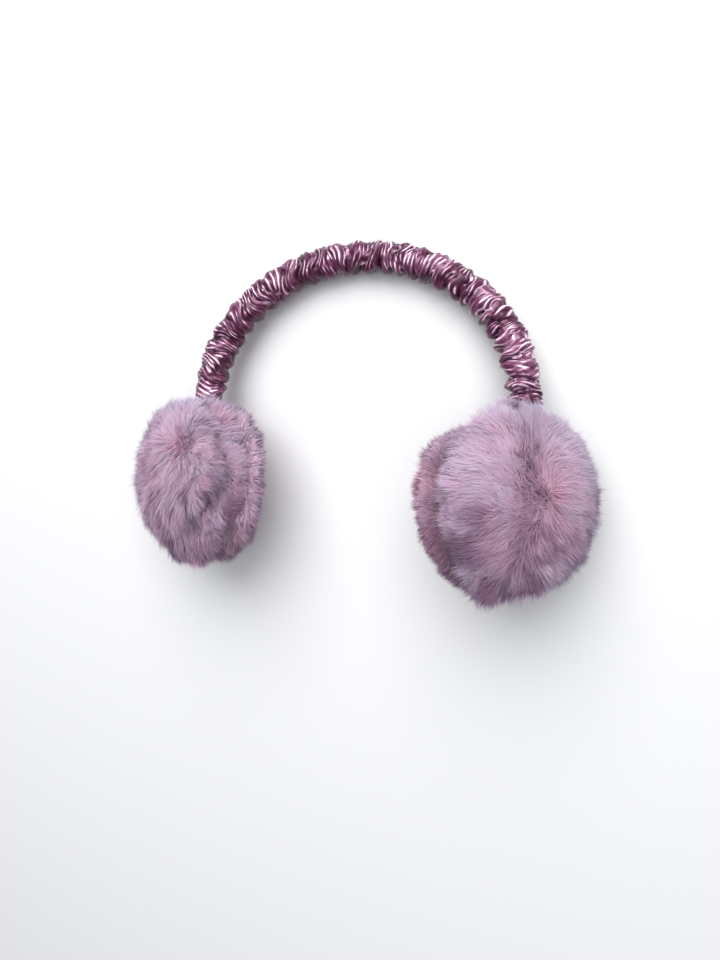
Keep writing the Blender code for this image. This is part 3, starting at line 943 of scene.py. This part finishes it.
def centre_line():
    angles = np.linspace(math.pi, 0, PATH_STEPS)
    over = np.c_[ARCH_HALF_SPAN * np.cos(angles), SPRINGING + ARCH_RISE * np.sin(angles)]
    ends = [muff["height"] + muff["radius"] - LEG_EMBED for muff in (MUFFS["left"], MUFFS["right"])]
    route = np.r_[[(-ARCH_HALF_SPAN, ends[0])], over, [(ARCH_HALF_SPAN, ends[1])]]
    run = np.r_[0, np.cumsum(np.linalg.norm(np.diff(route, axis=0), axis=1))]
    return run, route


def stations(distances):
    """Centre and inward side of the arch at distances along its centre line."""
    run, route = centre_line()
    step = run[-1] / PATH_STEPS

    def at(d):
        return np.stack([np.interp(d, run, route[:, 0]), np.interp(d, run, route[:, 1])], axis=-1)

    ahead = unit(at(np.minimum(distances + step, run[-1])) - at(np.maximum(distances - step, 0)))
    inward = np.stack([ahead[..., 1], -ahead[..., 0]], axis=-1)
    flat = np.zeros(distances.shape + (1,))
    return np.concatenate([at(distances), flat], -1), np.concatenate([inward, flat], -1)


def fold_train(flat, pitch, slant, bend, seed, spread=0.11, count=16):
    """Folds across the sleeve that fork and run together: their phase in turns, and strength."""
    random = np.random.default_rng(seed)
    heading = np.c_[np.ones(count), slant * random.normal(size=(count, 2))]
    turns = heading / (pitch * random.uniform(1 - spread, 1 + spread, count))[:, None]
    swing = np.exp(2j * math.pi * (flat @ turns.T + random.uniform(size=count))).sum(axis=-1)
    phase = np.angle(swing) / (2 * math.pi) + bend * waves(flat, BEND_PITCH, seed + 50)
    return phase, np.clip(1.2 * np.abs(swing) / math.sqrt(count), 0, 1.2)


def crest(phase, sharp):
    """Narrow crests, one to each turn."""
    return (0.5 + 0.5 * np.cos(2 * math.pi * phase)) ** sharp


def sleeve_grid(rings, sides, inner):
    """The sleeve's surface and its tints: its painted highlights, and its height in the folds for painted
    shade.
    """
    length = centre_line()[0][-1]
    along = np.linspace(0, length, rings)[:, None]
    angle = (2 * math.pi * np.arange(sides) / sides)[None, :]
    flat = np.stack([along + 0 * angle, SLEEVE_RADIUS * np.cos(angle) + 0 * along,
                     SLEEVE_RADIUS * np.sin(angle) + 0 * along], axis=-1)
    share = along / length
    places = [g["along"] for g in GATHERS]
    depth, pale, inner_bulge, outer_bulge = [
        np.interp(share, places, [g[key] for g in GATHERS])
        for key in ("depth", "pale", "inner", "outer")]
    broad = waves(flat, BROAD_PITCH, SEED + 1)
    lobe_phase, lobe_strength = fold_train(
        flat, LOBE_PITCH, slant=0.10, bend=0.08, seed=SEED + 2, spread=0.10)
    fold_phase, fold_strength = fold_train(flat, FOLD_PITCH, slant=0.18, bend=0.25, seed=SEED + 3)
    one_phase, one_strength = fold_train(flat, CRINKLE_PITCH, slant=0.12, bend=0.24, seed=SEED + 4)
    two_phase, two_strength = fold_train(flat, SECOND_PITCH, slant=0.16, bend=-0.34, seed=SEED + 5)
    lobes = np.abs(np.sin(math.pi * lobe_phase)) ** LOBE_SHARPNESS
    folds = crest(fold_phase, FOLD_SHARPNESS) * fold_strength
    two_side = 1 / (1 + np.exp(-SIDES_SHARPNESS * waves(flat, SIDES_PITCH, SEED + 6)))
    lines = np.maximum(crest(one_phase, CRINKLE_SHARPNESS) * one_strength * (1.1 - two_side),
                       crest(two_phase, CRINKLE_SHARPNESS) * two_strength * (0.1 + two_side))
    lines = lines * np.clip(FADE_MEAN + FADE_SWING * waves(flat, FADE_PITCH, SEED + 8), *FADE_RANGE)
    inner_edge = np.exp(-(((angle + math.pi) % (2 * math.pi) - math.pi) / INNER_EDGE_WIDTH) ** 2)
    lines = lines * (1 - INNER_EDGE_LOSS * inner_edge)
    toward_inner = 0.5 + 0.5 * np.cos(angle)
    on_inner = LOBES_OUTSIDE + LOBES_INSIDE * toward_inner
    rise = depth * (on_inner * (LOBE_BASE + LOBE_SWING * lobe_strength) * (lobes - LOBE_MEAN)
                    + FOLD_DEPTH * (1 - FOLD_LOSS * toward_inner) * (folds - FOLD_MEAN))
    radius = SLEEVE_RADIUS * (1 + rise) + CRINKLE_HEIGHT * (lines - CRINKLE_MEAN)
    radius = radius + inner_bulge * toward_inner ** 2 + outer_bulge * (1 - toward_inner) ** 2
    end = np.clip(np.minimum(along, length - along) / CUFF_LENGTH, 0, 1) ** 2
    radius = CUFF_RADIUS + (radius - CUFF_RADIUS) * end
    if inner:
        radius = np.minimum(radius, SLEEVE_RADIUS) - SLEEVE_WALL
    lean = SLEEVE_RADIUS * end * SLEEVE_LEAN * waves(flat, LEAN_PITCH, SEED + 7)
    centre, inward = stations(along + lean)
    side = np.cos(angle)[..., None] * inward + np.sin(angle)[..., None] * np.array([0, 0, 1.0])
    world = from_arch(centre + side * radius[..., None])
    world[..., 2] = np.maximum(world[..., 2], FLOOR_GAP)
    # Painted shade, darkest low in the lobes and folds.
    fold_shade = np.clip(FOLD_SHADE_BASE + FOLD_SHADE_LOBES * lobes + FOLD_SHADE_FOLDS * folds, 0, 1)
    # Painted highlights along the crinkle crests and folds.
    lines = np.clip(LINE_HIGHLIGHT * lines + pale + BROAD_HIGHLIGHT * broad + FOLD_HIGHLIGHT * folds, 0, 1)
    return world, np.stack([lines, fold_shade, fold_shade, np.ones_like(lines)], axis=-1)


def satin_material():
    """Mauve satin: painted highlights along its crinkles, plum between them, and painted shade darkest in
    the folds.
    """
    material, tree, shader = new_material("mauve_satin_gathered")
    channels = strand_channels(tree)
    # Painted highlights, palest along the crinkles.
    lines = add_ramp(tree, [(0.0, (0.070, 0.014, 0.042)), (0.22, (0.14, 0.038, 0.088)),
                            (0.48, (0.37, 0.15, 0.27)), (0.72, (0.98, 0.76, 0.90))], channels["Red"])
    # Painted shade in the folds.
    fold_shade = add_ramp(tree, [(0.15, (0.12, 0.08, 0.10)), (0.45, (0.66, 0.62, 0.65)),
                             (0.9, (1.0, 1.0, 1.0))], channels["Green"])
    tree.links.new(multiply(tree, lines, fold_shade), shader.inputs["Base Color"])
    weave = add_noise(tree, scale=900, detail=3)
    rough = tree.nodes.new("ShaderNodeMapRange")
    rough.inputs["To Min"].default_value = 0.22
    rough.inputs["To Max"].default_value = 0.32
    tree.links.new(weave, rough.inputs["Value"])
    tree.links.new(rough.outputs["Result"], shader.inputs["Roughness"])
    add_bump(tree, weave, shader, strength=0.12, distance=0.0002)
    shader.inputs["Metallic"].default_value = 0.15
    shader.inputs["Specular IOR Level"].default_value = 0.4
    return material


def dress_sleeve():
    """The sleeve: an outer and an inner tube, joined at both ends."""
    outer, outer_tints = sleeve_grid(SLEEVE_RINGS, SLEEVE_SIDES, False)
    inner, inner_tints = sleeve_grid(INNER_RINGS, SLEEVE_SIDES, True)
    size = SLEEVE_RINGS * SLEEVE_SIDES
    quads = [tube_corners(SLEEVE_RINGS, SLEEVE_SIDES),
             size + tube_corners(INNER_RINGS, SLEEVE_SIDES)[:, ::-1]]
    j = np.arange(SLEEVE_SIDES)
    k = (j + 1) % SLEEVE_SIDES
    last, inner_last = size - SLEEVE_SIDES, size + (INNER_RINGS - 1) * SLEEVE_SIDES
    quads.append(np.stack([k, j, size + j, size + k], -1))
    quads.append(np.stack([last + j, last + k, inner_last + k, inner_last + j], -1))
    corners = np.concatenate(quads)
    points = np.r_[outer.reshape(-1, 3), inner.reshape(-1, 3)]
    tints = np.r_[outer_tints.reshape(-1, 4), inner_tints.reshape(-1, 4)]
    sleeve = make_object("satin_sleeve", points, corners.ravel(), np.full(len(corners), 4), tints)
    sleeve.data.materials.append(satin_material())
    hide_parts("gathered_sleeve")


def dress_spring():
    """The spring inside the sleeve: brushed steel."""
    material, tree, shader = new_material("brushed_spring_steel")
    link = tree.links.new
    place = tree.nodes.new("ShaderNodeTexCoord")
    stretch = tree.nodes.new("ShaderNodeMapping")
    stretch.inputs["Scale"].default_value = (80, 80, 2500)
    noise = tree.nodes.new("ShaderNodeTexNoise")
    link(place.outputs["Object"], stretch.inputs["Vector"])
    link(stretch.outputs["Vector"], noise.inputs["Vector"])
    ramp = add_ramp(tree, [(0.3, (0.30, 0.30, 0.32)), (0.7, (0.42, 0.42, 0.44))], noise.outputs["Fac"])
    link(ramp, shader.inputs["Base Color"])
    shader.inputs["Metallic"].default_value = 1.0
    shader.inputs["Roughness"].default_value = 0.35
    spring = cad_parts["headband_spring"]
    spring.data.materials.clear()
    spring.data.materials.append(material)


FLOOR_SIZE = 3.0
LIGHT_TARGET = (0, 0, 0.03)


def make_floor():
    half = FLOOR_SIZE / 2
    points = np.array([(-half, -half, 0), (half, -half, 0), (half, half, 0), (-half, half, 0)])
    mesh = bpy.data.meshes.new("floor")
    mesh.from_pydata([tuple(p) for p in points], [], [(0, 1, 2, 3)])
    floor = bpy.data.objects.new("floor", mesh)
    bpy.context.scene.collection.objects.link(floor)
    material, tree, shader = new_material("pale_floor")
    noise = tree.nodes.new("ShaderNodeTexNoise")
    noise.inputs["Scale"].default_value = 3
    stops = [(0.0, (0.75, 0.75, 0.755)), (1.0, (0.78, 0.78, 0.785))]
    tree.links.new(add_ramp(tree, stops, noise.outputs["Fac"]), shader.inputs["Base Color"])
    shader.inputs["Roughness"].default_value = 0.9
    floor.data.materials.append(material)


def make_light(name, place, size, power, colour):
    """A round soft light, aimed at the earmuffs."""
    data = bpy.data.lights.new(name, "AREA")
    data.shape = "DISK"
    data.size = size
    data.energy = power
    data.color = colour
    light = bpy.data.objects.new(name, data)
    light.location = place
    aim = Vector(LIGHT_TARGET) - Vector(place)
    light.rotation_euler = aim.to_track_quat("-Z", "Y").to_euler()
    bpy.context.scene.collection.objects.link(light)


def make_lights():
    make_light("key", place=(0.00, 0.85, 1.00), size=1.30, power=20.0, colour=(1.0, 0.99, 0.98))
    make_light("top", place=(0.20, 0.30, 1.5), size=2.1, power=18.0, colour=(0.96, 0.98, 1.0))
    world = bpy.data.worlds.new("studio")
    world.use_nodes = True
    sky = world.node_tree.nodes["Background"]
    sky.inputs["Color"].default_value = (0.90, 0.93, 1.0, 1)
    sky.inputs["Strength"].default_value = 0.22
    bpy.context.scene.world = world
    bpy.context.scene.view_settings.view_transform = "Standard"


# The camera: its place and the point it looks at, in metres, its roll and its lens.
CAMERA_PLACE = np.array([0.1165, 0.0192, 0.3789])
CAMERA_TARGET = np.array([0.00860, -0.03580, 0.030])
CAMERA_ROLL = math.radians(0.584)
CAMERA_LENS = 712.0 * 36 / 720  # in millimetres, on a sensor 36 mm wide


def make_camera():
    back = unit(CAMERA_PLACE - CAMERA_TARGET)
    right = unit(np.cross(UP, back))
    up = np.cross(back, right)
    cosine, sine = math.cos(CAMERA_ROLL), math.sin(CAMERA_ROLL)
    right, up = right * cosine + up * sine, up * cosine - right * sine
    data = bpy.data.cameras.new("camera")
    data.sensor_fit = "HORIZONTAL"
    data.sensor_width = 36
    data.lens = CAMERA_LENS
    camera = bpy.data.objects.new("camera", data)
    turn = Matrix(np.stack([right, up, back], axis=1).tolist()).to_4x4()
    camera.matrix_world = Matrix.Translation(CAMERA_PLACE.tolist()) @ turn
    bpy.context.scene.collection.objects.link(camera)
    bpy.context.scene.camera = camera


fur = strand_material("lilac_fur_strands", FUR_LOOK)
pad = strand_material("shaded_pad_fur_strands", SHADED_PAD_LOOK)
fur_skin = skin_material("fur_backing", (0.66, 0.42, 0.53))
# A darker copy of the fur's backing, for the right pad: painted shade.
pad_skin = skin_material("shaded_pad_backing", (0.56, 0.34, 0.44))
make_camera()
make_lights()
make_floor()
dress_spring()
dress_sleeve()
for name in MUFFS:
    dress_muff(name, fur, pad, fur_skin, pad_skin)
